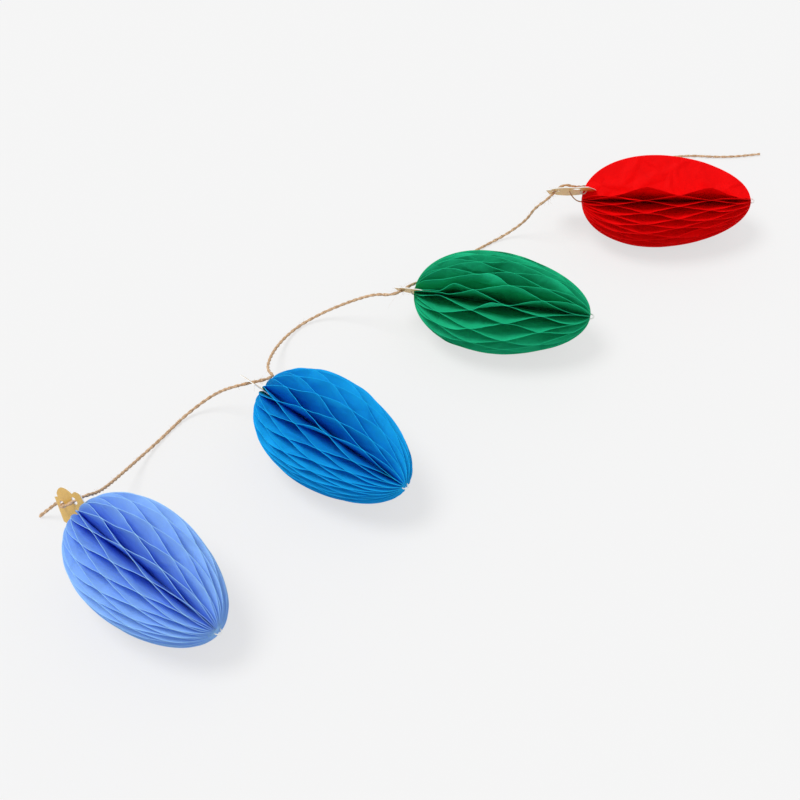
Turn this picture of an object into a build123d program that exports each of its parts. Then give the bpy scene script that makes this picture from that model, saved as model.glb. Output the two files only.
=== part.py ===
from build123d import *
from dataclasses import dataclass
from math import cos, degrees, pi, radians, sin, tan
import os

# A garland of four tissue paper light bulbs threaded on jute twine, lying on a table.
# Each bulb is a honeycomb pad fanned right round its spine, with a gold card in its cap end.
# Lengths are in millimetres and angles in degrees. X runs along the garland and Z is up from
# the table. A bulb's own frame has its origin at the cap end, Z along the spine towards the
# tip and X upwards.

# Bulb outline, measured along the spine from the cap end
BULB_LENGTH = 100.0
WIDEST = 45.0  # where the outline is widest
CAP_FULLNESS = 2.2  # power of the outline's curve on the cap side
TIP_FULLNESS = 1.7  # the same on the tip side
REST_FLAT = 0.9  # how far the soft paper settles on the table
RINGS = 16  # straight steps that the outline is drawn with

# Honeycomb
LEAVES = 40
GLUE_WIDTH = 2.0
PAPER = 0.35  # half of the glued double leaf
CELL_ROOT = 0.12  # half width of a cell where it ends at the spine
CAP_SOLID = 6.0  # a cell that ends nearer to the cap than this is left out
SPINE_RADIUS = 3.0  # glued core left standing where a fan is open
OVERRUN = 1.0  # how far a cell reaches past the outline

# Cap card: half widths and heights, its origin in the middle where it enters the paper
CARD_THICK = 0.5
CARD_FIT = 0.05  # gap all round in the slot of the paper
END_HALF = 7.5
END_AT = 17.5
COLLAR_HALF = 8.4
COLLAR_AT = 14.2
STEP_HALF = 10.3
SCALLOP_HALF = 15.4
SCALLOP_AT = 6.4
VALLEY_HALF = 13.0
VALLEY_AT = -0.8
LOBE_HALF = 15.0
LOBE_AT = -4.6
SHOULDER_HALF = 14.2
SHOULDER_AT = -8.0
TAB_HALF = 4.0
TAB_AT = -11.0
TWINE_HOLE = 4.4
HANG_HOLE = (4.0, 12.3)
SIDE_HOLE = (8.8, -0.5)

# White thread, sewn through the card at the cap and round the spine at the tip
THREAD = 0.7
THREAD_FIT = 0.05
STITCH_LOOP = 1.8  # radius of a stitch
STITCH_HOLE = 1.0

# Twine
TWINE = 2.0
TWINE_LIFT = 1.1  # height of its centre where it lies on the table
BEND_SHARE = 0.45  # share of the shorter run that a bend takes


@dataclass
class Bulb:
    """One bulb: where it lies, how its fan is spread and how its card sits."""

    name: str
    x: float  # the widest ring over the table
    y: float
    heading: float  # the way the tip points, from +X
    pitch: float  # tip up
    radius: float
    first_glue: float  # first glue strip of the even seams, from the cap end
    glue_pitch: float  # from one glue strip to the next on the same seam
    fan_start: float  # angle of the first seam from upwards
    swell: float  # how unevenly the fan is spread
    swell_at: float  # where along the fan it is most open
    gape: float  # angle of an open seam, 0 where the ends are glued
    card_roll: float  # turn of the card about the spine
    card_swing: float  # turn of the card in its own plane
    card_aside: float  # offset of the card from the spine
    card_sunk: float  # how much deeper the card sits


ROW_X = -13.4  # the row's place over the origin
ROW_Y = 5.3
PERIWINKLE = Bulb(
    "periwinkle", x=-185.7, y=-8.5, heading=-85.7, pitch=-2, radius=31.8,
    first_glue=5.4, glue_pitch=41.6, fan_start=11.75, swell=9, swell_at=231, gape=0,
    card_roll=-8, card_swing=28, card_aside=0, card_sunk=0,
)
BLUE = Bulb(
    "blue", x=-60.7, y=-8.1, heading=-85, pitch=2, radius=30.3,
    first_glue=4.1, glue_pitch=37.5, fan_start=3.25, swell=20, swell_at=279, gape=0,
    card_roll=31, card_swing=28, card_aside=0, card_sunk=1.5,
)
GREEN = Bulb(
    "green", x=70.9, y=-1.1, heading=-54.5, pitch=0, radius=28.9,
    first_glue=16.3, glue_pitch=38.6, fan_start=37.9, swell=17, swell_at=65, gape=0,
    card_roll=38, card_swing=0, card_aside=0, card_sunk=6.9,
)
RED = Bulb(
    "red", x=200.9, y=-9.2, heading=-43.3, pitch=0, radius=27.4,
    first_glue=15.4, glue_pitch=38.4, fan_start=39.4, swell=4, swell_at=20, gape=77,
    card_roll=38, card_swing=12, card_aside=-6, card_sunk=-3.5,
)
BULBS = (PERIWINKLE, BLUE, GREEN, RED)

# Route of the twine's centre, from the left cut end to the right cut end
TWINE_ROUTE = [
    # from the table up behind the periwinkle card, through both its holes and down again
    (-193.6, 71.7, 1.2), (-187.5, 66.0, 10.5), (-184.0, 58.5, 21.5), (-186.0, 51.7, 27.1),
    (-194.3, 46.8, 33.9), (-193.0, 41.2, 39.4), (-182.8, 38.0, 41.9), (-173.9, 41.9, 32.0),
    (-161.1, 49.9, 20.5), (-145.5, 58.1, 11.0), (-129.8, 64.7, 4.0),
    # over the table and up through the blue card
    (-112.8, 69.1, TWINE_LIFT), (-95.5, 72.2, 1.6), (-83.2, 69.1, 7.5), (-76.1, 62.9, 15.5),
    (-75.5, 50.6, 26.1), (-57.0, 46.3, 26.2), (-49.3, 54.9, 18.5), (-35.7, 67.4, 10.5),
    # a wide bow to the green card
    (-19.3, 76.6, 3.5), (-3.7, 79.7, TWINE_LIFT), (9.0, 75.7, 4.5), (17.3, 67.5, 12.0),
    (23.3, 58.5, 20.0), (27.8, 49.3, 27.6), (32.1, 38.5, 31.6), (47.1, 38.5, 30.8),
    # down behind the green bulb and on to the red card
    (58.6, 44.4, 18.0), (73.8, 49.2, 8.5), (89.6, 53.5, 2.0), (102.2, 53.6, TWINE_LIFT),
    (115.4, 52.5, TWINE_LIFT), (128.5, 50.4, 1.2), (137.2, 46.7, 5.5), (142.8, 41.1, 14.5),
    (144.9, 37.4, 25.4), (151.2, 33.2, 31.1), (167.7, 37.2, 30.3), (175.8, 32.3, 24.9),
    # down behind the red bulb and out to the cut end
    (194.8, 33.4, 14.5), (213.0, 36.7, 5.0), (229.4, 36.9, TWINE_LIFT),
    (244.5, 33.8, TWINE_LIFT), (257.9, 27.4, TWINE_LIFT), (268.9, 18.9, TWINE_LIFT),
    (278.3, 8.1, TWINE_LIFT), (289.1, -1.5, TWINE_LIFT), (300.8, -9.4, TWINE_LIFT),
]


def outline_radius(bulb, along):
    """Radius of a bulb's outline at a distance along the spine."""
    if along < WIDEST:
        share = ((WIDEST - along) / WIDEST) ** CAP_FULLNESS
    else:
        share = ((along - WIDEST) / (BULB_LENGTH - WIDEST)) ** TIP_FULLNESS
    return bulb.radius * max(1 - share, 0) ** 0.5


def spine_of(bulb):
    """Unit vector from the cap end to the tip."""
    heading, pitch = radians(bulb.heading), radians(bulb.pitch)
    return Vector(cos(heading) * cos(pitch), sin(heading) * cos(pitch), sin(pitch))


def spot(bulb):
    """Plane at a bulb's cap end, Z along the spine and X upwards, settled on the table."""
    spine, pitch = spine_of(bulb), radians(bulb.pitch)
    stations = [BULB_LENGTH * step / 200 for step in range(201)]
    lowest = max(
        outline_radius(bulb, z) * cos(pitch) - (z - WIDEST) * sin(pitch) for z in stations
    )
    middle = Vector(bulb.x + ROW_X, bulb.y + ROW_Y, lowest - REST_FLAT)
    upwards = Vector(0, 0, 1) - spine * spine.Z
    return Plane(origin=middle - spine * WIDEST, x_dir=upwards, z_dir=spine)


def card_spot(bulb):
    """Plane of a cap card in the bulb's own frame: X across the card, Y out of the paper."""
    roll, swing = radians(bulb.card_roll), radians(bulb.card_swing)
    across = Vector(cos(roll), sin(roll), 0)
    outward = Vector(0, 0, -1)
    swung = across * cos(swing) + outward * sin(swing)
    stem = outward * cos(swing) - across * sin(swing)
    normal = swung.cross(stem)
    rim = 1 - (bulb.card_aside / bulb.radius) ** 2
    depth = WIDEST * (1 - rim ** (1 / CAP_FULLNESS))
    origin = normal * bulb.card_aside - outward * depth - stem * bulb.card_sunk
    return Plane(origin=origin, x_dir=swung, z_dir=normal)


def glue_angle(bulb, seam):
    """Angle of a glued seam about the spine, in radians from upwards."""
    turn = 2 * pi * seam / LEAVES
    uneven = radians(bulb.swell) * sin(turn - radians(bulb.swell_at))
    return radians(bulb.fan_start) + radians(360 - bulb.gape) * seam / LEAVES + uneven


def cell(left, right, middle, half, reach):
    """A cell between two leaves: a diamond at the spine that widens to a diamond outside.

    Each of its four walls is creased once, from its low corner at the spine to its high
    corner outside, and so is the other face of the same leaf, so the paper stays even.
    """

    def diamond(x):
        return [
            Vector(x, 0, middle - half),
            Vector(x, x * tan(right) - PAPER, middle),
            Vector(x, 0, middle + half),
            Vector(x, PAPER - x * tan(left), middle),
        ]

    root = diamond((PAPER + CELL_ROOT) / tan(min(left, right)))
    mouth = diamond(reach)
    facets = [root, mouth]
    for low, high in ((0, 1), (1, 2), (3, 2), (0, 3)):
        facets.append([root[low], mouth[low], mouth[high]])
        facets.append([root[low], mouth[high], root[high]])
    return Solid(Shell([Face(Wire.make_polygon(facet)) for facet in facets]))


def cells_of(bulb):
    """All cells of a fan, each on its seam, staggered from one seam to the next."""
    found = []
    half = (bulb.glue_pitch - GLUE_WIDTH) / 2
    seams = range(LEAVES - 1) if bulb.gape else range(LEAVES)
    for seam in seams:
        here = glue_angle(bulb, seam)
        left = here - glue_angle(bulb, seam - 1)
        right = glue_angle(bulb, seam + 1) - here
        middle = bulb.first_glue - bulb.glue_pitch / 2 * (1 if seam % 2 == 0 else 0)
        while middle < BULB_LENGTH:
            if middle + half > CAP_SOLID:
                shape = cell(left, right, middle, half, bulb.radius + OVERRUN)
                found.append(Rot(0, 0, degrees(here)) * shape)
            middle += bulb.glue_pitch
    return found


def card_face(grow):
    """The card's outline in its own plane, grown all round by a clearance."""
    end, collar = END_AT + grow, COLLAR_AT + grow
    shoulder, tab = SHOULDER_AT - grow, TAB_AT - grow
    with BuildSketch() as face:
        with BuildLine():
            Polyline(
                (0, end), (END_HALF + grow, end), (COLLAR_HALF + grow, collar),
                (STEP_HALF + grow, collar),
            )
            Spline(
                (STEP_HALF + grow, collar),
                (SCALLOP_HALF + grow, SCALLOP_AT),
                (VALLEY_HALF + grow, VALLEY_AT),
            )
            Spline(
                (VALLEY_HALF + grow, VALLEY_AT),
                (LOBE_HALF + grow, LOBE_AT),
                (SHOULDER_HALF + grow, shoulder),
            )
            Polyline((SHOULDER_HALF + grow, shoulder), (TAB_HALF + grow, tab), (0, tab))
            mirror(about=Plane.YZ)
        make_face()
    return face.sketch


def stitch_ring(plane, gauge):
    """A round stitch of thread about the X axis of a plane."""
    with BuildPart() as ring:
        Torus(STITCH_LOOP, gauge / 2, rotation=(0, 90, 0))
    return plane.location * ring.part


def cap_spot(bulb):
    """Plane of the cap stitch in the bulb's own frame: in the card, where it enters the paper."""
    card = card_spot(bulb)
    entry = card.origin + card.y_dir * bulb.card_sunk
    return Plane(origin=entry, x_dir=card.x_dir, z_dir=card.z_dir)


def tip_spot():
    """Plane of the tip stitch in the bulb's own frame."""
    return Plane(origin=(0, 0, BULB_LENGTH), x_dir=(1, 0, 0), z_dir=(0, 0, 1))


def make_honeycomb(bulb):
    """The tissue pad fanned into a bulb, slotted for its card and sewn at both ends."""
    cells = cells_of(bulb)
    card_slot = card_spot(bulb).location * card_face(CARD_FIT)
    tunnels = [
        stitch_ring(cap_spot(bulb), THREAD + 2 * THREAD_FIT),
        stitch_ring(tip_spot(), THREAD + 2 * THREAD_FIT),
    ]
    with BuildPart() as fan:
        with BuildSketch(Plane.XZ):
            with BuildLine():
                turns = [pi * ring / RINGS for ring in range(RINGS + 1)]
                rings = [(1 - cos(turn)) / 2 * BULB_LENGTH for turn in turns]
                Polyline(*[(outline_radius(bulb, z), z) for z in rings], close=True)
            make_face()
        revolve(axis=Axis.Z)
        add(cells, mode=Mode.SUBTRACT)
        if bulb.gape:
            first = glue_angle(bulb, LEAVES - 1)
            last = glue_angle(bulb, -1) + 2 * pi
            far = (bulb.radius + OVERRUN) / cos((last - first) / 2)
            with BuildSketch(Plane.XY):
                Polygon(
                    (SPINE_RADIUS * cos(first), SPINE_RADIUS * sin(first)),
                    (far * cos(first), far * sin(first)),
                    (far * cos(last), far * sin(last)),
                    (SPINE_RADIUS * cos(last), SPINE_RADIUS * sin(last)),
                    align=None,
                )
            extrude(amount=BULB_LENGTH, mode=Mode.SUBTRACT)
        extrude(to_extrude=card_slot.faces(), amount=CARD_THICK / 2 + CARD_FIT, both=True,
                mode=Mode.SUBTRACT)
        add(tunnels, mode=Mode.SUBTRACT)
    with BuildPart() as honeycomb:
        add(spot(bulb).location * fan.part)
        split(bisect_by=Plane.XY, keep=Keep.TOP)
    return honeycomb


def make_card(bulb):
    """The die cut cap card with its holes for the twine and the stitch."""
    with BuildPart() as die:
        with BuildSketch():
            add(card_face(0))
            with Locations(HANG_HOLE, SIDE_HOLE):
                Circle(TWINE_HOLE / 2, mode=Mode.SUBTRACT)
            entry = bulb.card_sunk
            with Locations((0, entry + STITCH_LOOP), (0, entry - STITCH_LOOP)):
                Circle(STITCH_HOLE / 2, mode=Mode.SUBTRACT)
        extrude(amount=CARD_THICK / 2, both=True)
    with BuildPart() as card:
        add(spot(bulb).location * card_spot(bulb).location * die.part)
    return card


def make_stitch(bulb, plane):
    """A stitch of white thread at one end of a bulb."""
    with BuildPart() as stitch:
        add(spot(bulb).location * stitch_ring(plane, THREAD))
    return stitch


def make_twine():
    """The twine as a round tube along its route, with rounded bends."""
    route = [Vector(x + ROW_X, y + ROW_Y, z) for x, y, z in TWINE_ROUTE]
    bends = []
    for before, here, after in zip(route, route[1:], route[2:]):
        shorter = min((here - before).length, (after - here).length)
        half_turn = radians((here - before).get_angle(after - here)) / 2
        bends.append(BEND_SHARE * shorter / tan(half_turn))
    with BuildPart() as twine:
        with BuildLine() as path:
            FilletPolyline(*route, radius=bends)
        with BuildSketch(Plane(origin=path.line @ 0, z_dir=path.line % 0)):
            Circle(TWINE / 2)
        sweep(path=path.line)
    length = sum(edge.length for edge in path.edges())
    share = twine.part.volume / (pi * TWINE**2 / 4 * length)
    print("twine bends from", round(min(bends), 1), "to", round(max(bends), 1), "radius")
    print("twine length", round(length, 1), "volume over section times length", round(share, 4))
    return twine


os.makedirs("parts", exist_ok=True)
for bulb in BULBS:
    honeycomb = make_honeycomb(bulb)
    honeycomb.part.label = f"honeycomb_{bulb.name}"
    export_step(honeycomb.part, f"parts/honeycomb_{bulb.name}.step")

    cap_card = make_card(bulb)
    cap_card.part.label = f"cap_card_{bulb.name}"
    export_step(cap_card.part, f"parts/cap_card_{bulb.name}.step")

    cap_stitch = make_stitch(bulb, cap_spot(bulb))
    cap_stitch.part.label = f"cap_stitch_{bulb.name}"
    export_step(cap_stitch.part, f"parts/cap_stitch_{bulb.name}.step")

    tip_stitch = make_stitch(bulb, tip_spot())
    tip_stitch.part.label = f"tip_stitch_{bulb.name}"
    export_step(tip_stitch.part, f"parts/tip_stitch_{bulb.name}.step")

    for piece in (honeycomb, cap_card, cap_stitch, tip_stitch):
        box = piece.part.bounding_box()
        print(piece.part.label, len(piece.part.solids()), "solid", box.min, box.max)

twine = make_twine()
twine.part.label = "twine"
export_step(twine.part, "parts/twine.step")
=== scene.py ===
"""Dresses the paper light bulb garland: tissue honeycombs, gold cap cards, stitches and jute twine."""
import math
from typing import NamedTuple

import bpy
import numpy as np
from bpy.props import FloatProperty, FloatVectorProperty, IntProperty, PointerProperty
from bpy.types import Operator, Panel, PropertyGroup
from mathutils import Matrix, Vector


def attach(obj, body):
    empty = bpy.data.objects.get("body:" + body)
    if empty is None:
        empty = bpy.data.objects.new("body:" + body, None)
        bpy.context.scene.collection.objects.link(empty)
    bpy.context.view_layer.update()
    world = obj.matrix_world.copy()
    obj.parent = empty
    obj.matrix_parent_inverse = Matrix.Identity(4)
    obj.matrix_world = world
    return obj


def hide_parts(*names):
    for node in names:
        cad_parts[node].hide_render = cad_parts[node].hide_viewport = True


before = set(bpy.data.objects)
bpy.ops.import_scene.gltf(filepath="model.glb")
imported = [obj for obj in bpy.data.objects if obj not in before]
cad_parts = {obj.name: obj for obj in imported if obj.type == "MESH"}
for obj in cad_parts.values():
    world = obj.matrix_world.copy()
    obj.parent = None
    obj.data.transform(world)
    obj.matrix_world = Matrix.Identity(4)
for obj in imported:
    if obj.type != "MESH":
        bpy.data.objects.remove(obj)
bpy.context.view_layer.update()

bl_info = {
    "name": "Paper Light Bulb Garland",
    "version": (1, 0, 0),
    "blender": (4, 5, 0),
    "location": "View3D > Sidebar > Garland",
    "description": "Builds the honeycombs, the twine and the finishes of a paper light bulb garland",
    "category": "Add Mesh",
}


class Bulb(NamedTuple):
    """One bulb: where it lies, how its pad of leaves is glued and fanned, and how its paper is worn.

    Lengths are in metres and angles in degrees.
    """

    name: str
    # Place on the table of its widest part, the way that its spine points from cap to tip, and its size.
    x: float
    y: float
    heading: float
    pitch: float
    radius: float
    # Place along the spine of the first glue strip, and the distance between two strips of one seam.
    first_glue: float
    glue_pitch: float
    # Angle of the first seam, how far the fan swells and where, how wide it gapes, and its unevenness.
    fan_start: float
    swell: float
    swell_at: float
    gape: float
    unevenness: float
    # Height of the curled lips and depth of the creases.
    curl: float
    crumple: float
    # Turn of the cap card about the spine, and how deep the card holds the two leaves beside it.
    card_roll: float
    card_grip: float


# The row lies with its middle on the origin: this shift is added to every bulb and to the twine.
ROW_SHIFT = np.array((-0.0134, 0.0053, 0.0))

BULBS = (
    Bulb(
        name="periwinkle", x=-0.1857, y=-0.0085, heading=-85.7, pitch=-2.0, radius=0.0318,
        first_glue=0.0054, glue_pitch=0.0416, fan_start=11.75, swell=9.0, swell_at=231.0, gape=0.0,
        unevenness=0.7, curl=0.0006, crumple=0.1, card_roll=-8.0, card_grip=0.0,
    ),
    Bulb(
        name="blue", x=-0.0607, y=-0.0081, heading=-85.0, pitch=2.0, radius=0.0303,
        first_glue=0.0041, glue_pitch=0.0375, fan_start=3.25, swell=20.0, swell_at=279.0, gape=0.0,
        unevenness=0.8, curl=0.0008, crumple=0.18, card_roll=31.0, card_grip=0.0,
    ),
    Bulb(
        name="green", x=0.0709, y=-0.0011, heading=-54.5, pitch=0.0, radius=0.0289,
        first_glue=0.0163, glue_pitch=0.0386, fan_start=37.9, swell=17.0, swell_at=65.0, gape=0.0,
        unevenness=1.6, curl=0.0022, crumple=0.28, card_roll=38.0, card_grip=0.02,
    ),
    Bulb(
        name="red", x=0.2009, y=-0.0092, heading=-43.3, pitch=0.0, radius=0.0274,
        first_glue=0.0154, glue_pitch=0.0384, fan_start=39.4, swell=4.0, swell_at=20.0, gape=77.0,
        unevenness=0.9, curl=0.0010, crumple=0.42, card_roll=38.0, card_grip=0.0,
    ),
)

# The twine's route from its left cut end, over the backs and through the holes of the cards, to its
# right cut end.
TWINE_ROUTE = (
    (-0.1936, 0.0717, 0.0012),
    (-0.1875, 0.0660, 0.0105),
    (-0.1840, 0.0585, 0.0215),
    (-0.1860, 0.0517, 0.0271),
    (-0.1943, 0.0468, 0.0339),
    (-0.1930, 0.0412, 0.0394),
    (-0.1828, 0.0380, 0.0419),
    (-0.1739, 0.0419, 0.0320),
    (-0.1611, 0.0499, 0.0205),
    (-0.1455, 0.0581, 0.0110),
    (-0.1298, 0.0647, 0.0040),
    (-0.1128, 0.0691, 0.0011),
    (-0.0955, 0.0722, 0.0016),
    (-0.0832, 0.0691, 0.0075),
    (-0.0761, 0.0629, 0.0155),
    (-0.0722, 0.0513, 0.0270),
    (-0.0522, 0.0427, 0.0250),
    (-0.0493, 0.0549, 0.0185),
    (-0.0357, 0.0674, 0.0105),
    (-0.0193, 0.0766, 0.0035),
    (-0.0037, 0.0797, 0.0011),
    (0.0090, 0.0757, 0.0045),
    (0.0173, 0.0675, 0.0120),
    (0.0233, 0.0585, 0.0200),
    (0.0278, 0.0493, 0.0276),
    (0.0321, 0.0385, 0.0316),
    (0.0471, 0.0385, 0.0308),
    (0.0586, 0.0444, 0.0180),
    (0.0738, 0.0492, 0.0085),
    (0.0896, 0.0535, 0.0020),
    (0.1022, 0.0536, 0.0011),
    (0.1154, 0.0525, 0.0011),
    (0.1285, 0.0504, 0.0012),
    (0.1372, 0.0467, 0.0055),
    (0.1428, 0.0411, 0.0145),
    (0.1449, 0.0374, 0.0254),
    (0.1512, 0.0332, 0.0311),
    (0.1677, 0.0372, 0.0303),
    (0.1758, 0.0323, 0.0249),
    (0.1948, 0.0334, 0.0145),
    (0.2130, 0.0367, 0.0050),
    (0.2294, 0.0369, 0.0011),
    (0.2445, 0.0338, 0.0011),
    (0.2579, 0.0274, 0.0011),
    (0.2689, 0.0189, 0.0011),
    (0.2783, 0.0081, 0.0011),
    (0.2891, -0.0015, 0.0011),
    (0.3008, -0.0094, 0.0011),
)
# Places by the route where a card has frayed the twine.
FRAYED_PLACES = ((-0.0610, 0.0450, 0.0250), (0.0400, 0.0390, 0.0310), (0.1560, 0.0345, 0.0306))
# Start, bend and end of the strand that has come loose at the red card.
LOOSE_STRAND = ((0.1656, 0.0293, 0.0307), (0.1644, 0.0243, 0.0262), (0.1694, 0.0219, 0.0249))

# The camera looks at the origin of the row before its shift, as far off as the photograph's frame needs.
CAMERA_TARGET = Vector(ROW_SHIFT)
CAMERA_LOOK = Vector((0.4417, 0.4670, -0.7660))
CAMERA_DISTANCE = 1.029
CAMERA_LENS = 83.25
SENSOR_WIDTH = 36.0

# The sun's direction and its width in degrees, and half the floor's side.
SUN_DIRECTION = Vector((0.28, -0.24, -0.93))
SUN_WIDTH = 26.0
FLOOR_HALF = 4.0
# Light goes back and forth many times between two leaves.
LIGHT_BOUNCES = 16

LEAF_SEED = 11
FIBRE_SEED = 23
# Edges that turn by more than this many degrees are shaded sharp.
SHARP_FROM = 50.0
OUTLINE_SAMPLES = 200

# On a fan that gapes, how far its first and last leaves fold, as shares of the space between two seams.
FIRST_LEAF_FOLD = 1.5
LAST_LEAF_FOLD = 0.4
# How far the way from strip to strip is eased: zero is straight, one is fully rounded.
FOLD_SOFTNESS = 0.2
# How far aside a leaf leans at a glue strip, in leaf thicknesses, and how many times that beside a card.
GLUE_LEAN = 0.55
CARD_LEAN = 4.2
# Where a card's hold on the leaves beside it starts to fade and over which length, as shares of its depth.
GRIP_FADES_AT = 0.8
GRIP_FADES_OVER = 0.5

# A leaf's grid: rows along the spine, closer at the poles, and columns outwards, closer at the cut edge.
LEAF_ROWS = 96
LEAF_COLUMNS = 11
POLE_CROWDING = 0.4
EDGE_POWER = 0.8
POLE_GAP = 0.00012
TABLE_GAP = 0.00005
# The core that the leaves start in. Near a pole the core, the start and the rim, the band along the cut edge
# that gets a painted highlight, are shares of the width.
CORE_RADIUS = 0.0015
CORE_RINGS = 40
CORE_SIDES = 14
CORE_AT_POLE = 0.6
START_IN_CORE = 0.8
START_AT_POLE = 0.4
LIT_RIM_AT_POLE = 0.2
# Wrinkles, the share of loose places that have a curled lip, where a lip starts, and the uneven trim.
WRINKLE_WAVES = 5
WRINKLE_LENGTH = 0.030
WRINKLE_STEP = 0.8
CURLED_SHARE = 0.35
CURL_FROM = 0.8
TRIM = 0.015

# Distance between rings along the twine, and the direction that turns its rings.
RING_SPACING = 0.0006
FRAME_GUIDE = np.array((-0.5, 0.75, 0.43))
# A ply's radius and its distance from the twine's line, as shares of the twine's thickness.
PLY_RADIUS = 0.33
PLY_OFFSET = 0.17
PLY_SIDES = 9
# Lumps of a ply: their height, how many lie round it, how fast they turn along it, and their chance part.
LUMP_HEIGHT = 0.06
LUMPS_ROUND = 3.0
LUMP_TURN = 1.7
LUMP_CHANCE = 0.03
# The twine is thinner towards its right end: shares of its thickness at shares of its length.
WEAR_AT = (0.0, 0.6, 1.0)
WEAR = (1.0, 0.92, 0.76)
# Loose fibres: how far they reach, where in the twine they start, their lean, curl, width and taper, the
# lowest that they lie, and how many rings at each end of the twine have none.
FIBRE_REACH = (0.0006, 0.0016)
FIBRE_START = 0.35
FIBRE_LEAN = 1.6
FIBRE_CURL = 0.5
FIBRE_RADIUS = 0.00006
FIBRE_TAPER = 0.6
FIBRE_FLOOR = 0.00012
BARE_RINGS = 10
# Fibres at each frayed place, over how many rings they spread, and how many times as far they reach.
FRAYED_FIBRES = 24
FRAYED_RINGS = 4.0
FRAYED_REACH = 2.0
# The loose strand's radius as a share of the twine's thickness, and its rings.
STRAND_RADIUS = 0.2
STRAND_RINGS = 14
STRAND_SIDES = 6

# Darkest and palest tones of each finish, as factors of its colour, the painted highlight that makes the
# paper's cut edges lighter, as a factor of its colour, and the share of light through paper.
PAPER_TONES = (0.96, 1.04)
RIM_HIGHLIGHT_TONE = 1.25
CARD_TONES = (0.88, 1.05)
THREAD_TONES = (0.8, 1.0)
LIGHT_THROUGH = 0.1


class TissueSettings(PropertyGroup):
    """Sizes and colours of the tissue honeycombs."""

    length: FloatProperty(
        name="Bulb length",
        description="Length of a bulb along its spine, from the cap to the tip",
        default=0.1,
        min=0.02,
        unit="LENGTH",
    )
    widest_at: FloatProperty(
        name="Widest place",
        description="Distance from the cap to where a bulb is widest",
        default=0.045,
        unit="LENGTH",
    )
    cap_fullness: FloatProperty(
        name="Cap fullness",
        description="Power of the outline towards the cap: higher is blunter",
        default=2.2,
    )
    tip_fullness: FloatProperty(
        name="Tip fullness",
        description="Power of the outline towards the tip: higher is blunter",
        default=1.7,
    )
    rest_flat: FloatProperty(
        name="Resting flat",
        description="How far a bulb's underside is pressed in by the table",
        default=0.0009,
        unit="LENGTH",
    )
    leaves: IntProperty(name="Leaves", description="Number of tissue leaves in a pad", default=40, min=8)
    glue_width: FloatProperty(
        name="Glue width", description="Width of a glue strip", default=0.002, unit="LENGTH"
    )
    thickness: FloatProperty(
        name="Leaf thickness", description="Thickness of one leaf", default=0.00016, unit="LENGTH"
    )
    # Width of the band along a leaf's cut edge over which the painted highlight fades in.
    rim: FloatProperty(
        name="Cut edge",
        description="Width of the brighter band along the cut edge of a leaf",
        default=0.0004,
        unit="LENGTH",
    )
    wrinkle: FloatProperty(
        name="Wrinkle height",
        description="Height of the soft wrinkles in a leaf",
        default=0.00035,
        unit="LENGTH",
    )
    periwinkle: FloatVectorProperty(
        name="Periwinkle",
        description="Colour of the first bulb",
        default=(0.32, 0.58, 1.0),
        subtype="COLOR",
    )
    blue: FloatVectorProperty(
        name="Blue",
        description="Colour of the second bulb",
        default=(0.010, 0.43, 0.87),
        subtype="COLOR",
    )
    green: FloatVectorProperty(
        name="Green",
        description="Colour of the third bulb",
        default=(0.015, 0.52, 0.25),
        subtype="COLOR",
    )
    red: FloatVectorProperty(
        name="Red",
        description="Colour of the fourth bulb",
        default=(0.90, 0.0022, 0.003),
        subtype="COLOR",
    )


class CardSettings(PropertyGroup):
    """Colours of the cap cards and of the thread that stitches the pads."""

    gold: FloatVectorProperty(
        name="Gold",
        description="Printed face of a cap card",
        default=(0.77, 0.47, 0.10),
        subtype="COLOR",
    )
    cut_edge: FloatVectorProperty(
        name="Cut edge",
        description="White core of the card where it is cut",
        default=(0.86, 0.85, 0.82),
        subtype="COLOR",
    )
    thread: FloatVectorProperty(
        name="Thread",
        description="Colour of the stitches",
        default=(0.84, 0.84, 0.82),
        subtype="COLOR",
    )


class TwineSettings(PropertyGroup):
    """Sizes and colours of the jute twine."""

    thickness: FloatProperty(
        name="Twine thickness", description="Width over both plies", default=0.0019, unit="LENGTH"
    )
    twist: FloatProperty(
        name="Twist length",
        description="Length of one full turn of the plies",
        default=0.009,
        unit="LENGTH",
    )
    fibres: IntProperty(
        name="Loose fibres", description="Number of fibres that stand anywhere off the twine", default=300
    )
    pale: FloatVectorProperty(
        name="Pale jute",
        description="Colour of the pale fibres",
        default=(0.74, 0.52, 0.33),
        subtype="COLOR",
    )
    dark: FloatVectorProperty(
        name="Dark jute",
        description="Colour of the dark fibres",
        default=(0.42, 0.25, 0.13),
        subtype="COLOR",
    )


class StageSettings(PropertyGroup):
    """Colour of the floor and levels of the light."""

    floor: FloatVectorProperty(
        name="Floor",
        description="Colour of the floor's own surface",
        default=(0.83, 0.83, 0.83),
        subtype="COLOR",
    )
    backdrop: FloatVectorProperty(
        name="Backdrop",
        description="Plain colour behind the garland",
        default=(0.913, 0.913, 0.913),
        subtype="COLOR",
    )
    plainness: FloatProperty(
        name="Plainness",
        description="How far the floor shows the backdrop in place of its own shading",
        default=0.72,
    )
    sun: FloatProperty(name="Sun", description="Strength of the soft sun", default=1.75)
    sky: FloatProperty(name="Sky", description="Strength of the even light from all round", default=0.60)


class GarlandSettings(PropertyGroup):
    """Everything about the garland that a user would change."""

    tissue: PointerProperty(type=TissueSettings)
    card: PointerProperty(type=CardSettings)
    twine: PointerProperty(type=TwineSettings)
    stage: PointerProperty(type=StageSettings)


def add_object(name, data):
    """Links a new object at the origin, with its place in its data."""
    piece = bpy.data.objects.new(name, data)
    bpy.context.scene.collection.objects.link(piece)
    return piece


def add_mesh(name, points, faces):
    """Makes a smooth shaded mesh object of an array of points and a list of faces."""
    mesh = bpy.data.meshes.new(name)
    mesh.from_pydata(points.reshape(-1, 3).tolist(), [], faces)
    mesh.shade_smooth()
    mesh.set_sharp_from_angle(angle=math.radians(SHARP_FROM))
    return add_object(name, mesh)


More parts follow.
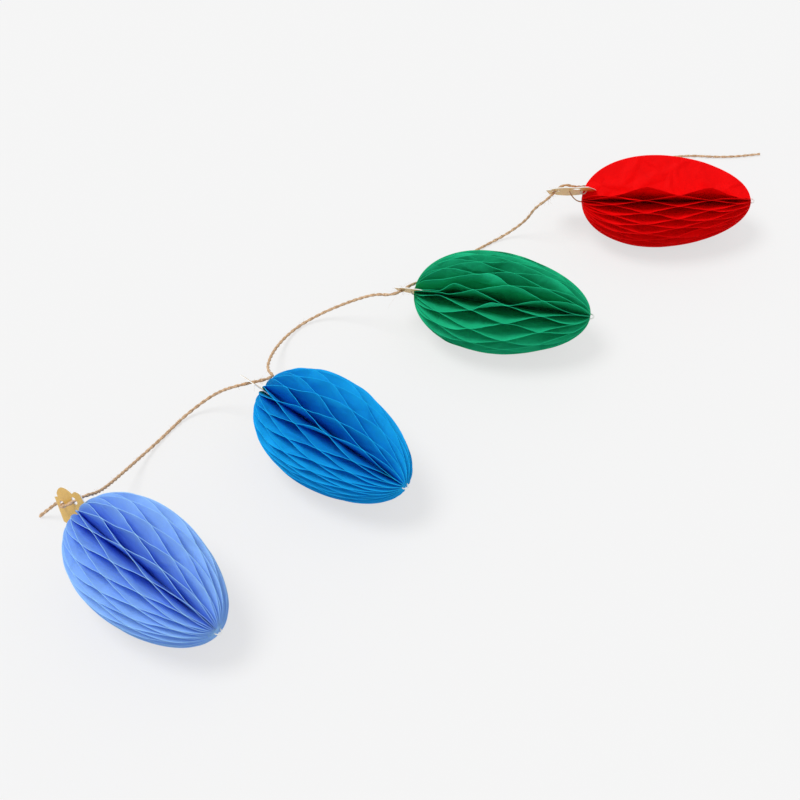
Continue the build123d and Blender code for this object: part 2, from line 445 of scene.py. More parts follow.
def finish_piece(piece, material, slot, *nodes):
    """Gives a piece its material, and lets it ride on the garland in place of its CAD nodes. The slot is not
    used.
    """
    piece.data.materials.append(material)
    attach(piece, "root")
    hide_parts(*nodes)


def tube_faces(count, rings, sides, start=0):
    """Faces of several closed tubes, each of so many rings of so many points, with a flat face at each end.

    The tubes' points follow each other from the start, ring by ring.
    """
    tube = start + np.arange(count)[:, None, None] * rings * sides
    ring = np.arange(rings - 1)[None, :, None] * sides
    side = np.arange(sides)[None, None, :]
    after = (side + 1) % sides
    here = tube + ring + side
    beside = tube + ring + after
    quads = np.stack((here, beside, beside + sides, here + sides), axis=-1).reshape(-1, 4)
    first = (tube + side).reshape(count, sides)
    last = first + (rings - 1) * sides
    return quads.tolist() + first[:, ::-1].tolist() + last.tolist()


def outline(along, radius, tissue):
    """Radius of a bulb along its spine: its largest radius times the root of one less a power of a way.

    The way is the share of the distance from the widest place to the cap on one side, and to the tip on the
    other.
    """
    to_cap = np.clip((tissue.widest_at - along) / tissue.widest_at, 0.0, 1.0)
    to_tip = np.clip((along - tissue.widest_at) / (tissue.length - tissue.widest_at), 0.0, 1.0)
    return radius * np.sqrt(1.0 - to_cap**tissue.cap_fullness - to_tip**tissue.tip_fullness)


def bulb_axes(bulb, tissue):
    """The cap's pole, and the directions up, sideways and along the spine of a bulb that rests on the table.

    The spine is turned by its heading and raised by its pitch. The bulb is lifted by the lowest place of its
    outline, less the part that the table presses in.
    """
    heading = math.radians(bulb.heading)
    pitch = math.radians(bulb.pitch)
    level = np.array((math.cos(heading), math.sin(heading), 0.0))
    spine = level * math.cos(pitch) + np.array((0.0, 0.0, math.sin(pitch)))
    upwards = np.array((0.0, 0.0, 1.0)) - spine * spine[2]
    upwards /= np.linalg.norm(upwards)
    sideways = np.cross(spine, upwards)
    along = np.linspace(0.0, tissue.length, OUTLINE_SAMPLES)
    reach = outline(along, bulb.radius, tissue) * math.cos(pitch)
    lift = np.max(reach - (along - tissue.widest_at) * math.sin(pitch)) - tissue.rest_flat
    middle = np.array((bulb.x, bulb.y, lift)) + ROW_SHIFT
    return middle - spine * tissue.widest_at, upwards, sideways, spine


def seam_angles(bulb, tissue, strips, chance):
    """Angle round the spine of every seam, and of every seam at every glue strip.

    The seams are spread evenly over the fan, plus a sine swell once round. At each strip a seam is shifted a
    little by chance. On a fan that gapes, the outermost seams lie from their neighbours by the two folds.
    """
    turn = np.arange(-1, tissue.leaves) / tissue.leaves
    swell = bulb.swell * np.sin(math.tau * turn - math.radians(bulb.swell_at))
    glued = np.radians(bulb.fan_start + (360.0 - bulb.gape) * turn + swell)
    shifts = np.radians(chance.normal(0.0, bulb.unevenness, (tissue.leaves + 1, strips.size)))
    if bulb.gape == 0.0:
        shifts[-1] = shifts[0]
    angles = glued[:, None] + shifts
    if bulb.gape > 0.0:
        angles[-1] = angles[-2] + (angles[-1] - angles[-2]) * LAST_LEAF_FOLD
        angles[0] = angles[1] + (angles[0] - angles[1]) * FIRST_LEAF_FOLD
    return glued, angles


def leaf_angles(bulb, tissue, along, chance):
    """Angle of every leaf round the spine at every place along it, with its lean, looseness and lip.

    A leaf runs from the seam that it shares with the leaf before it to the seam shared with the leaf after
    it and back, in eased steps from one glue strip to the next. Even seams are glued at even strips, odd
    seams at odd ones. The lean goes from one at the earlier seam to minus one at the later. The looseness
    goes from zero at a strip to one half way between two. A lip is the looseness times a chance height,
    which is zero between most strips. Where a card is held, the two leaves beside it are pressed to its
    angle, and lie flat as deep as its grip.
    """
    step = bulb.glue_pitch / 2.0
    strips = np.arange(-2, math.ceil(tissue.length / step) + 2)
    glued, angles = seam_angles(bulb, tissue, strips, chance)
    leaf = np.arange(tissue.leaves)[:, None]
    later = (leaf + strips[None, :]) % 2 == 0
    knots = angles[leaf + later, np.arange(strips.size)[None, :]]
    leans = np.where(later, -1.0, 1.0)
    place = (along - bulb.first_glue) / step - strips[0]
    before = np.floor(place).astype(int)
    flat = tissue.glue_width / step / 2.0
    share = np.clip((place - before - flat) / (1.0 - 2.0 * flat), 0.0, 1.0)
    eased = share + FOLD_SOFTNESS * (share * share * (3.0 - 2.0 * share) - share)
    angle = knots[:, before] + (knots[:, before + 1] - knots[:, before]) * eased
    lean = leans[:, before] + (leans[:, before + 1] - leans[:, before]) * eased
    looseness = np.tile(4.0 * eased * (1.0 - eased), (tissue.leaves, 1))
    curled = chance.random(knots.shape) < CURLED_SHARE
    lip = (curled * chance.normal(0.0, 1.0, knots.shape))[:, before] * looseness
    if bulb.card_grip > 0.0:
        card = math.radians(bulb.card_roll)
        later_leaf = np.argmin(np.abs(glued - card))
        pair = np.array((later_leaf - 1, later_leaf))
        grip = 1.0 - np.clip((along / bulb.card_grip - GRIP_FADES_AT) / GRIP_FADES_OVER, 0.0, 1.0)
        grip = grip * grip * (3.0 - 2.0 * grip)
        angle[pair] += grip * (card - angle[pair])
        lean[pair] += grip * (np.array(((-CARD_LEAN,), (CARD_LEAN,))) - lean[pair])
        looseness[pair] *= 1.0 - grip
        lip[pair] *= 1.0 - grip
    return angle, lean, looseness, lip


def leaf_wrinkles(shape, along, out, chance):
    """Soft wrinkles over the leaves, from minus one to one.

    They are the mean of slanting sine waves, each shorter than the one before, and each leaf has its own
    slants and phases.
    """
    waves = np.zeros(shape)
    for wave in range(WRINKLE_WAVES):
        length = WRINKLE_LENGTH / (1.0 + WRINKLE_STEP * wave)
        slant = chance.uniform(0.0, math.pi, (shape[0], 1, 1))
        phase = chance.uniform(0.0, math.tau, (shape[0], 1, 1))
        way = along[None, :, None] * np.cos(slant) + out * np.sin(slant)
        waves += np.sin(math.tau * way / length + phase) / WRINKLE_WAVES
    return waves


def honeycomb_points(bulb, tissue, chance):
    """Points of every leaf of a bulb, as rings round its two faces, and which of them lie on its cut edge,
    where the material paints a highlight.

    A leaf's middle surface is the place along the spine and the distance out from it, turned to the leaf's
    angle. The distance runs from the core to the trimmed outline, or to the table where that is nearer. The
    lean at a glue strip, the wrinkles and the lip, which grows with the square of the way from its start to
    the cut edge, move the surface sideways. Each face lies half the leaf's thickness from it.
    """
    pole, upwards, sideways, spine = bulb_axes(bulb, tissue)
    share = np.linspace(0.0, 1.0, LEAF_ROWS)
    crowded = (1.0 - np.cos(math.pi * share)) / 2.0
    share = (1.0 - POLE_CROWDING) * share + POLE_CROWDING * crowded
    along = POLE_GAP + share * (tissue.length - 2.0 * POLE_GAP)
    angle, lean, looseness, lip = leaf_angles(bulb, tissue, along, chance)
    height = (pole[2] + along * spine[2])[None, :] - TABLE_GAP
    drop = np.maximum(-np.cos(angle) * upwards[2], 1e-6)
    cut = outline(along, bulb.radius, tissue)[None, :] * (1.0 - TRIM * chance.random((tissue.leaves, 1)))
    outer = np.minimum(cut, height / drop)[:, :, None]
    inner = np.minimum(CORE_RADIUS * START_IN_CORE, outer * START_AT_POLE)
    band = np.minimum(tissue.rim, outer * LIT_RIM_AT_POLE)
    columns = np.linspace(0.0, 1.0, LEAF_COLUMNS - 1)[None, None, :] ** EDGE_POWER
    out = np.concatenate((inner + (outer - band - inner) * columns, outer), axis=2)
    wrinkles = tissue.wrinkle * leaf_wrinkles(out.shape, along, out, chance) * out / bulb.radius
    to_edge = np.clip((out / outer - CURL_FROM) / (1.0 - CURL_FROM), 0.0, 1.0)
    over = to_edge**2 * (outer / bulb.radius) ** 3
    bend = wrinkles * looseness[:, :, None] + bulb.curl * lip[:, :, None] * over
    aside = lean[:, :, None] * tissue.thickness * GLUE_LEAN + bend
    cosine = np.cos(angle)[:, :, None]
    sine = np.sin(angle)[:, :, None]
    middle = (
        pole
        + along[None, :, None, None] * spine
        + (out * cosine - aside * sine)[..., None] * upwards
        + (out * sine + aside * cosine)[..., None] * sideways
    )
    normal = np.cross(np.gradient(middle, axis=1), np.gradient(middle, axis=2))
    normal /= np.linalg.norm(normal, axis=3, keepdims=True)
    later_face = middle + normal * tissue.thickness / 2.0
    earlier_face = middle - normal * tissue.thickness / 2.0
    points = np.concatenate((earlier_face, later_face[:, :, ::-1]), axis=2)
    points[..., 2] = np.maximum(points[..., 2], TABLE_GAP)
    # The points of the outermost column mark the cut edge, which the material paints lighter as a highlight.
    column = np.arange(LEAF_COLUMNS)
    on_lit_rim = np.concatenate((column, column[::-1])) == LEAF_COLUMNS - 1
    return points, np.broadcast_to(on_lit_rim, points.shape[:3])


def leaf_faces(leaves, rows, columns):
    """Faces of the leaves: quads round each leaf's ring from row to row, and strips that close its ends."""
    ring = 2 * columns
    leaf = np.arange(leaves)[:, None, None] * rows * ring
    row = np.arange(rows - 1)[None, :, None] * ring
    side = np.arange(ring)[None, None, :]
    here = leaf + row + side
    beside = leaf + row + (side + 1) % ring
    around = np.stack((here, beside, beside + ring, here + ring), axis=-1).reshape(-1, 4)
    column = np.arange(columns - 1)[None, :]
    start = leaf[:, :, 0] + column
    mirror = leaf[:, :, 0] + ring - 1 - column
    first = np.stack((start, mirror, mirror - 1, start + 1), axis=-1).reshape(-1, 4)
    last = first[:, ::-1] + (rows - 1) * ring
    return np.concatenate((around, first, last)).tolist()


def core_points(bulb, tissue):
    """Points of the folded spine that the leaves grow from: rings round it, narrower towards the poles."""
    pole, upwards, sideways, spine = bulb_axes(bulb, tissue)
    along = np.linspace(2.0 * POLE_GAP, tissue.length - 2.0 * POLE_GAP, CORE_RINGS)
    radius = np.minimum(CORE_RADIUS, CORE_AT_POLE * outline(along, bulb.radius, tissue))[:, None, None]
    angle = np.linspace(0.0, math.tau, CORE_SIDES, endpoint=False)[None, :, None]
    around = np.cos(angle) * upwards + np.sin(angle) * sideways
    return pole + along[:, None, None] * spine + radius * around


def tinted(colour, factor):
    """A colour made lighter or darker in its own hue, with no channel above one."""
    return [min(part * factor, 1.0) for part in colour]


def start_material(name):
    """A new material, its node tree and its surface shader."""
    material = bpy.data.materials.new(name)
    material.use_nodes = True
    tree = material.node_tree
    return material, tree, tree.nodes["Principled BSDF"]


def add_noise(tree, place, scale, detail=2.0):
    """A noise over the piece's own place, with so many ups and downs to the metre."""
    noise = tree.nodes.new("ShaderNodeTexNoise")
    noise.inputs["Scale"].default_value = scale
    noise.inputs["Detail"].default_value = detail
    tree.links.new(place.outputs["Object"], noise.inputs["Vector"])
    return noise


def add_tones(tree, noise, dark, pale, start=0.0, end=1.0):
    """A ramp over a noise, from a dark colour up to the start to a pale one from the end."""
    tones = tree.nodes.new("ShaderNodeValToRGB")
    low, high = tones.color_ramp.elements
    low.position = start
    high.position = end
    low.color = [*dark, 1.0]
    high.color = [*pale, 1.0]
    tree.links.new(noise.outputs["Fac"], tones.inputs["Fac"])
    return tones


def add_bump(tree, height, strength, distance):
    """A bump from a height's socket, so many metres from lowest to highest, shown at a strength."""
    bump = tree.nodes.new("ShaderNodeBump")
    bump.inputs["Strength"].default_value = strength
    bump.inputs["Distance"].default_value = distance
    tree.links.new(height, bump.inputs["Height"])
    return bump


def crease_height(tree, place):
    """Socket with the height of long creases: ridges between the cells of a pattern whose place wanders."""
    wander = add_noise(tree, place, scale=50.0)
    shifted = tree.nodes.new("ShaderNodeVectorMath")
    shifted.operation = "MULTIPLY_ADD"
    shifted.inputs[1].default_value = (0.014, 0.014, 0.014)
    tree.links.new(wander.outputs["Color"], shifted.inputs[0])
    tree.links.new(place.outputs["Object"], shifted.inputs[2])
    facets = tree.nodes.new("ShaderNodeTexVoronoi")
    facets.feature = "DISTANCE_TO_EDGE"
    facets.inputs["Scale"].default_value = 48.0
    tree.links.new(shifted.outputs["Vector"], facets.inputs["Vector"])
    ridges = tree.nodes.new("ShaderNodeMapRange")
    ridges.interpolation_type = "SMOOTHSTEP"
    ridges.inputs["From Max"].default_value = 0.16
    ridges.inputs["To Min"].default_value = 1.0
    ridges.inputs["To Max"].default_value = 0.0
    tree.links.new(facets.outputs["Distance"], ridges.inputs["Value"])
    return ridges.outputs["Result"]


def tissue_material(name, colour, crumple):
    """Dyed tissue paper that lets a little light through, with a painted highlight that makes its cut edges
    lighter.

    It has faint mottling, long creases as deep as its crumple, and a fine grain.
    """
    material, tree, paper = start_material(name)
    place = tree.nodes.new("ShaderNodeTexCoord")
    mottle = add_noise(tree, place, scale=160.0, detail=3.0)
    dark, pale = [tinted(colour, tone) for tone in PAPER_TONES]
    tones = add_tones(tree, mottle, dark, pale, start=0.3, end=0.7)
    # Painted highlight: points on the cut edge are mixed towards a lighter tone of the paper's colour,
    # standing in for light caught by the edge.
    rim = tree.nodes.new("ShaderNodeAttribute")
    rim.attribute_name = "rim"
    dye_and_highlight = tree.nodes.new("ShaderNodeMix")
    dye_and_highlight.data_type = "RGBA"
    dye_and_highlight.inputs["B"].default_value = [*tinted(colour, RIM_HIGHLIGHT_TONE), 1.0]
    tree.links.new(rim.outputs["Fac"], dye_and_highlight.inputs["Factor"])
    tree.links.new(tones.outputs["Color"], dye_and_highlight.inputs["A"])
    creases = add_bump(tree, crease_height(tree, place), strength=crumple, distance=0.0014)
    grain = add_noise(tree, place, scale=420.0, detail=4.0)
    grain.inputs["Distortion"].default_value = 0.6
    bump = add_bump(tree, grain.outputs["Fac"], strength=0.35, distance=0.0003)
    tree.links.new(creases.outputs["Normal"], bump.inputs["Normal"])
    paper.inputs["Roughness"].default_value = 0.6
    paper.inputs["Specular IOR Level"].default_value = 0.05
    tree.links.new(dye_and_highlight.outputs["Result"], paper.inputs["Base Color"])
    tree.links.new(bump.outputs["Normal"], paper.inputs["Normal"])
    glow = tree.nodes.new("ShaderNodeBsdfTranslucent")
    tree.links.new(dye_and_highlight.outputs["Result"], glow.inputs["Color"])
    tree.links.new(bump.outputs["Normal"], glow.inputs["Normal"])
    mixed = tree.nodes.new("ShaderNodeMixShader")
    mixed.inputs["Fac"].default_value = LIGHT_THROUGH
    tree.links.new(paper.outputs["BSDF"], mixed.inputs[1])
    tree.links.new(glow.outputs["BSDF"], mixed.inputs[2])
    tree.links.new(mixed.outputs["Shader"], tree.nodes["Material Output"].inputs["Surface"])
    return material


def flat_direction(node):
    """Direction across a card: the normal of the largest face of its solid."""
    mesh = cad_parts[node].data
    areas = np.empty(len(mesh.polygons))
    normals = np.empty(len(mesh.polygons) * 3)
    mesh.polygons.foreach_get("area", areas)
    mesh.polygons.foreach_get("normal", normals)
    return normals.reshape(-1, 3)[np.argmax(areas)]


def card_material(name, across, card):
    """Gold printed card: satin with faint grain on its flat faces, and its white core on its cut edges."""
    material, tree, shader = start_material(name)
    shader.inputs["Roughness"].default_value = 0.42
    shader.inputs["Specular IOR Level"].default_value = 0.5
    place = tree.nodes.new("ShaderNodeTexCoord")
    grain = add_noise(tree, place, scale=700.0, detail=3.0)
    dark, pale = [tinted(card.gold, tone) for tone in CARD_TONES]
    tones = add_tones(tree, grain, dark, pale, start=0.3, end=0.7)
    facing = tree.nodes.new("ShaderNodeNewGeometry")
    along = tree.nodes.new("ShaderNodeVectorMath")
    along.operation = "DOT_PRODUCT"
    along.inputs[1].default_value = across
    tree.links.new(facing.outputs["True Normal"], along.inputs[0])
    size = tree.nodes.new("ShaderNodeMath")
    size.operation = "ABSOLUTE"
    tree.links.new(along.outputs["Value"], size.inputs[0])
    on_face = tree.nodes.new("ShaderNodeMath")
    on_face.operation = "GREATER_THAN"
    on_face.inputs[1].default_value = 0.8
    tree.links.new(size.outputs["Value"], on_face.inputs[0])
    mixed = tree.nodes.new("ShaderNodeMix")
    mixed.data_type = "RGBA"
    mixed.inputs["A"].default_value = [*card.cut_edge, 1.0]
    tree.links.new(on_face.outputs["Value"], mixed.inputs["Factor"])
    tree.links.new(tones.outputs["Color"], mixed.inputs["B"])
    tree.links.new(mixed.outputs["Result"], shader.inputs["Base Color"])
    bump = add_bump(tree, grain.outputs["Fac"], strength=0.2, distance=0.0001)
    tree.links.new(bump.outputs["Normal"], shader.inputs["Normal"])
    return material


def thread_material(name, colour):
    """White sewing thread: matt, with a fine uneven surface."""
    material, tree, shader = start_material(name)
    shader.inputs["Roughness"].default_value = 0.8
    place = tree.nodes.new("ShaderNodeTexCoord")
    strands = add_noise(tree, place, scale=2500.0)
    dark, pale = [tinted(colour, tone) for tone in THREAD_TONES]
    tones = add_tones(tree, strands, dark, pale)
    tree.links.new(tones.outputs["Color"], shader.inputs["Base Color"])
    bump = add_bump(tree, strands.outputs["Fac"], strength=0.5, distance=0.0001)
    tree.links.new(bump.outputs["Normal"], shader.inputs["Normal"])
    return material


def jute_material(name, twine):
    """Jute: specks of pale and dark fibre, with a rough, uneven surface."""
    material, tree, shader = start_material(name)
    shader.inputs["Roughness"].default_value = 0.85
    shader.inputs["Specular IOR Level"].default_value = 0.2
    place = tree.nodes.new("ShaderNodeTexCoord")
    fibres = add_noise(tree, place, scale=900.0, detail=4.0)
    fibres.inputs["Roughness"].default_value = 0.65
    tones = add_tones(tree, fibres, twine.dark, twine.pale, start=0.36, end=0.62)
    tree.links.new(tones.outputs["Color"], shader.inputs["Base Color"])
    bump = add_bump(tree, fibres.outputs["Fac"], strength=0.6, distance=0.0002)
    tree.links.new(bump.outputs["Normal"], shader.inputs["Normal"])
    return material


def twine_line():
    """Evenly spaced points along the twine, and how far along it each lies.

    The twine's line is a smooth spline with the route's points as its control points.
    """
    curve = bpy.data.curves.new("twine_line", "CURVE")
    curve.dimensions = "3D"
    curve.resolution_u = 24
    spline = curve.splines.new("NURBS")
    spline.points.add(len(TWINE_ROUTE) - 1)
    route = np.array(TWINE_ROUTE) + ROW_SHIFT
    spline.points.foreach_set("co", np.column_stack((route, np.ones(len(route)))).ravel())
    spline.order_u = 3
    spline.use_endpoint_u = True
    guide = add_object("twine_line", curve)
    bpy.context.view_layer.update()
    mesh = bpy.data.meshes.new_from_object(guide)
    line = np.empty(len(mesh.vertices) * 3)
    mesh.vertices.foreach_get("co", line)
    line = line.reshape(-1, 3)
    bpy.data.meshes.remove(mesh)
    bpy.data.objects.remove(guide)
    bpy.data.curves.remove(curve)
    travelled = np.concatenate(((0.0,), np.cumsum(np.linalg.norm(np.diff(line, axis=0), axis=1))))
    stations = np.linspace(0.0, travelled[-1], int(travelled[-1] / RING_SPACING) + 1)
    centres = np.column_stack([np.interp(stations, travelled, line[:, axis]) for axis in range(3)])
    return centres, stations


def line_frame(centres):
    """The direction of a line at each of its points, and two directions square to it.

    One is square to a fixed guide too, and the other is square to that one.
    """
    ahead = np.gradient(centres, axis=0)
    ahead /= np.linalg.norm(ahead, axis=1, keepdims=True)
    across = np.cross(ahead, FRAME_GUIDE)
    across /= np.linalg.norm(across, axis=1, keepdims=True)
    return ahead, across, np.cross(ahead, across)


def ply_points(centres, stations, twine, chance):
    """Points of two plies twisted round the line: for each ply a ring of uneven radius on a helix."""
    ahead, across, over = line_frame(centres)
    ply = np.array((0.0, math.pi))[:, None]
    turn = math.tau * stations[None, :] / twine.twist + ply
    worn = np.interp(stations / stations[-1], WEAR_AT, WEAR)
    spread = (twine.thickness * PLY_OFFSET * worn)[:, None]
    helix = centres[None] + spread * (np.cos(turn)[..., None] * across + np.sin(turn)[..., None] * over)
    side = np.linspace(0.0, math.tau, PLY_SIDES, endpoint=False)[None, None, :]
    lumps = 1.0 + LUMP_HEIGHT * np.sin(side * LUMPS_ROUND + turn[:, :, None] * LUMP_TURN)
    lumps = lumps + chance.normal(0.0, LUMP_CHANCE, turn.shape)[:, :, None]
    radius = (twine.thickness * PLY_RADIUS * worn)[None, :, None] * lumps
    ring = np.cos(side)[..., None] * across[None, :, None] + np.sin(side)[..., None] * over[None, :, None]
    return helix[:, :, None] + radius[..., None] * ring


def fibre_points(centres, twine, chance):
    """Points of the loose fibres: each a thin three sided tube that leaves the twine, bends and tapers.

    Most stand anywhere along the twine. The rest, which are longer, stand at the frayed places.
    """
    ahead, across, over = line_frame(centres)
    places = np.array(FRAYED_PLACES)[:, None] + ROW_SHIFT
    frayed = np.argmin(np.linalg.norm(places - centres[None], axis=2), axis=1)
    spread = np.rint(chance.normal(0.0, FRAYED_RINGS, (frayed.size, FRAYED_FIBRES))).astype(int)
    root = chance.integers(BARE_RINGS, len(centres) - BARE_RINGS, twine.fibres)
    root = np.concatenate((root, (frayed[:, None] + spread).ravel()))
    turn = chance.uniform(0.0, math.tau, root.size)
    outward = np.cos(turn)[:, None] * across[root] + np.sin(turn)[:, None] * over[root]
    lean = chance.normal(0.0, 1.0, root.size)[:, None]
    curl = chance.normal(0.0, FIBRE_CURL, (root.size, 3))
    reach = chance.uniform(*FIBRE_REACH, root.size)[:, None]
    reach[twine.fibres :] *= FRAYED_REACH
    share = np.array((0.0, 0.35, 0.7, 1.0))[None, :, None]
    path = (
        centres[root][:, None]
        + outward[:, None] * (twine.thickness * FIBRE_START + reach[:, None] * share)
        + (ahead[root] * lean * reach)[:, None] * share * FIBRE_LEAN
        + (curl * reach)[:, None] * share**2
    )
    path[..., 2] = np.maximum(path[..., 2], FIBRE_FLOOR)
    side = np.linspace(0.0, math.tau, 3, endpoint=False)[None, None, :, None]
    square = np.cross(ahead[root], outward)[:, None, None]
    ring = np.cos(side) * ahead[root][:, None, None] + np.sin(side) * square
    return path[:, :, None] + FIBRE_RADIUS * (1.0 - FIBRE_TAPER * share[..., None]) * ring


def strand_points(twine):
    """Points of the strand that has come loose: a ring carried along a curve.

    The curve is a parabola from the first point to the last of three, bent towards the middle one.
    """
    start, middle, end = np.array(LOOSE_STRAND) + ROW_SHIFT
    share = np.linspace(0.0, 1.0, STRAND_RINGS)[:, None]
    line = (1.0 - share) ** 2 * start + 2.0 * share * (1.0 - share) * middle + share**2 * end
    ahead, across, over = line_frame(line)
    side = np.linspace(0.0, math.tau, STRAND_SIDES, endpoint=False)[None, :, None]
    ring = np.cos(side) * across[:, None] + np.sin(side) * over[:, None]
    return (line[:, None] + twine.thickness * STRAND_RADIUS * ring)[None]


class GARLAND_OT_camera(Operator):
    """Sets the camera at the photograph's viewing angle, looking down on the row from one side"""

    bl_idname = "garland.camera"
    bl_label = "Camera"

    def execute(self, context):
        lens = bpy.data.cameras.new("camera")
        lens.lens = CAMERA_LENS
        lens.sensor_width = SENSOR_WIDTH
        camera = add_object("camera", lens)
        camera.location = CAMERA_TARGET - CAMERA_LOOK.normalized() * CAMERA_DISTANCE
        camera.rotation_euler = CAMERA_LOOK.to_track_quat("-Z", "Y").to_euler()
        context.scene.camera = camera
        return {"FINISHED"}


class GARLAND_OT_twine(Operator):
    """Makes the twisted jute twine with its loose fibres and its loose strand"""

    bl_idname = "garland.twine"
    bl_label = "Jute twine"

    def execute(self, context):
        twine = context.scene.garland.twine
        chance = np.random.default_rng(FIBRE_SEED)
        centres, stations = twine_line()
        jute = jute_material("jute", twine)
        plies = ply_points(centres, stations, twine, chance)
        cord = add_mesh("jute_twine", plies, tube_faces(*plies.shape[:3]))
        finish_piece(cord, jute, "jute_twine", "twine")
        hairs = fibre_points(centres, twine, chance)
        fuzz = add_mesh("twine_fibres", hairs, tube_faces(*hairs.shape[:3]))
        finish_piece(fuzz, jute, "jute_twine")
        loose = strand_points(twine)
        strand = add_mesh("loose_strand", loose, tube_faces(*loose.shape[:3]))
        finish_piece(strand, jute, "jute_twine")
        return {"FINISHED"}


class GARLAND_OT_honeycombs(Operator):
    """Makes the four tissue honeycombs, each a pad of leaves fanned round its spine"""

    bl_idname = "garland.honeycombs"
    bl_label = "Tissue honeycombs"

    def execute(self, context):
        tissue = context.scene.garland.tissue
        chance = np.random.default_rng(LEAF_SEED)
        for bulb in BULBS:
            leaves, on_lit_rim = honeycomb_points(bulb, tissue, chance)
            core = core_points(bulb, tissue)
            faces = leaf_faces(tissue.leaves, LEAF_ROWS, LEAF_COLUMNS)
            faces += tube_faces(1, *core.shape[:2], start=leaves.size // 3)
            points = np.concatenate((leaves.reshape(-1, 3), core.reshape(-1, 3)))
            piece = add_mesh("paper_" + bulb.name, points, faces)
            # Marks the cut edge of every leaf for the painted highlight in the material.
            rim = piece.data.attributes.new("rim", "FLOAT", "POINT")
            rim.data.foreach_set("value", np.concatenate((on_lit_rim.ravel(), np.zeros(core.size // 3))))
            slot = "tissue_" + bulb.name
            material = tissue_material(slot, getattr(tissue, bulb.name), bulb.crumple)
            finish_piece(piece, material, slot, "honeycomb_" + bulb.name)
        return {"FINISHED"}


class GARLAND_OT_cards(Operator):
    """Finishes the gold cap cards and the white stitches"""

    bl_idname = "garland.cards"
    bl_label = "Cap cards and stitches"

    def execute(self, context):
        card = context.scene.garland.card
        thread = thread_material("white_thread", card.thread)
        for bulb in BULBS:
            node = "cap_card_" + bulb.name
            self.finish(node, card_material("gold_card_" + bulb.name, flat_direction(node), card))
            self.finish("cap_stitch_" + bulb.name, thread)
            self.finish("tip_stitch_" + bulb.name, thread)
        return {"FINISHED"}

    def finish(self, node, material):
        """Gives a CAD node its material."""
        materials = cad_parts[node].data.materials
        materials.clear()
        materials.append(material)


def seen_directly(tree):
    """Socket that is one for rays from the camera, off gloss or through glass, and zero for others."""
    rays = tree.nodes.new("ShaderNodeLightPath")
    seen = tree.nodes.new("ShaderNodeMath")
    seen.operation = "MAXIMUM"
    tree.links.new(rays.outputs["Is Camera Ray"], seen.inputs[0])
    tree.links.new(rays.outputs["Is Glossy Ray"], seen.inputs[1])
    through = tree.nodes.new("ShaderNodeMath")
    through.operation = "MAXIMUM"
    tree.links.new(seen.outputs["Value"], through.inputs[0])
    tree.links.new(rays.outputs["Is Transmission Ray"], through.inputs[1])
    return through.outputs["Value"]


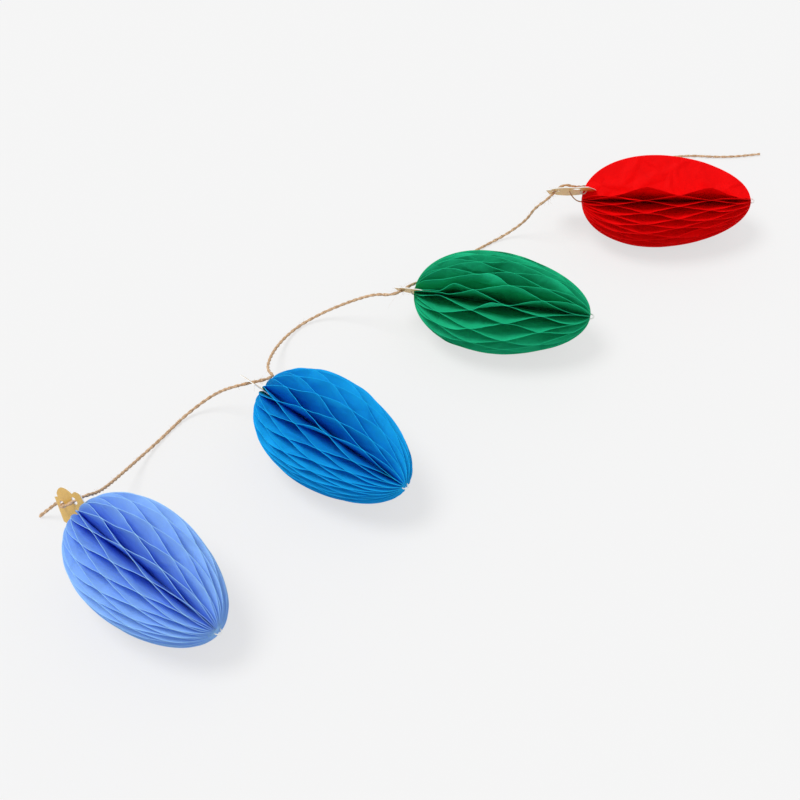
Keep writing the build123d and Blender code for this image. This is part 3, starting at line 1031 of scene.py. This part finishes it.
class GARLAND_OT_stage(Operator):
    """Sets the pale floor, the soft sun and the even light from all round"""

    bl_idname = "garland.stage"
    bl_label = "Stage"

    def execute(self, context):
        stage = context.scene.garland.stage
        context.scene.view_settings.view_transform = "Standard"
        context.scene.cycles.max_bounces = LIGHT_BOUNCES
        context.scene.cycles.diffuse_bounces = LIGHT_BOUNCES
        self.floor(stage)
        self.sun(stage)
        self.sky(context.scene, stage)
        return {"FINISHED"}

    def floor(self, stage):
        """A flat square under the garland that shows the backdrop's colour mixed with its own shading."""
        corners = np.array(((-1.0, -1.0, 0.0), (1.0, -1.0, 0.0), (1.0, 1.0, 0.0), (-1.0, 1.0, 0.0)))
        floor = add_mesh("floor", corners * FLOOR_HALF, [(0, 1, 2, 3)])
        material, tree, shader = start_material("pale_floor")
        shader.inputs["Base Color"].default_value = [*stage.floor, 1.0]
        shader.inputs["Roughness"].default_value = 1.0
        shader.inputs["Specular IOR Level"].default_value = 0.0
        backdrop = tree.nodes.new("ShaderNodeEmission")
        backdrop.inputs["Color"].default_value = [*stage.backdrop, 1.0]
        share = tree.nodes.new("ShaderNodeMath")
        share.operation = "MULTIPLY"
        share.inputs[1].default_value = stage.plainness
        tree.links.new(seen_directly(tree), share.inputs[0])
        mixed = tree.nodes.new("ShaderNodeMixShader")
        tree.links.new(share.outputs["Value"], mixed.inputs["Fac"])
        tree.links.new(shader.outputs["BSDF"], mixed.inputs[1])
        tree.links.new(backdrop.outputs["Emission"], mixed.inputs[2])
        tree.links.new(mixed.outputs["Shader"], tree.nodes["Material Output"].inputs["Surface"])
        floor.data.materials.append(material)

    def sun(self, stage):
        """A wide sun high up on the camera's left, so that soft shadows fall to the right."""
        light = bpy.data.lights.new("soft_sun", "SUN")
        light.energy = stage.sun
        light.angle = math.radians(SUN_WIDTH)
        lamp = add_object("soft_sun", light)
        lamp.rotation_euler = SUN_DIRECTION.to_track_quat("-Z", "Y").to_euler()

    def sky(self, scene, stage):
        """Even light on the garland, while the camera and reflections see the plain backdrop."""
        world = bpy.data.worlds.new("even_light")
        scene.world = world
        world.use_nodes = True
        tree = world.node_tree
        tree.nodes.clear()
        output = tree.nodes.new("ShaderNodeOutputWorld")
        light = tree.nodes.new("ShaderNodeBackground")
        light.inputs["Color"].default_value = (1.0, 1.0, 1.0, 1.0)
        light.inputs["Strength"].default_value = stage.sky
        backdrop = tree.nodes.new("ShaderNodeBackground")
        backdrop.inputs["Color"].default_value = [*stage.backdrop, 1.0]
        mixed = tree.nodes.new("ShaderNodeMixShader")
        tree.links.new(seen_directly(tree), mixed.inputs["Fac"])
        tree.links.new(light.outputs["Background"], mixed.inputs[1])
        tree.links.new(backdrop.outputs["Background"], mixed.inputs[2])
        tree.links.new(mixed.outputs["Shader"], output.inputs["Surface"])


class GARLAND_PT_panel(Panel):
    """Lists the steps that build the garland"""

    bl_idname = "GARLAND_PT_panel"
    bl_label = "Paper Light Bulb Garland"
    bl_space_type = "VIEW_3D"
    bl_region_type = "UI"
    bl_category = "Garland"

    def draw(self, context):
        for step in STEPS:
            self.layout.operator(step.bl_idname)


STEPS = (
    GARLAND_OT_camera,
    GARLAND_OT_twine,
    GARLAND_OT_honeycombs,
    GARLAND_OT_cards,
    GARLAND_OT_stage,
)
GROUPS = (TissueSettings, CardSettings, TwineSettings, StageSettings, GarlandSettings)


def register():
    for kind in GROUPS + STEPS + (GARLAND_PT_panel,):
        bpy.utils.register_class(kind)
    bpy.types.Scene.garland = PointerProperty(type=GarlandSettings)


def unregister():
    del bpy.types.Scene.garland
    for kind in reversed(GROUPS + STEPS + (GARLAND_PT_panel,)):
        bpy.utils.unregister_class(kind)


def main():
    """Builds the garland step by step."""
    register()
    bpy.ops.garland.camera()
    bpy.ops.garland.twine()
    bpy.ops.garland.honeycombs()
    bpy.ops.garland.cards()
    bpy.ops.garland.stage()


if __name__ == "__main__":
    main()
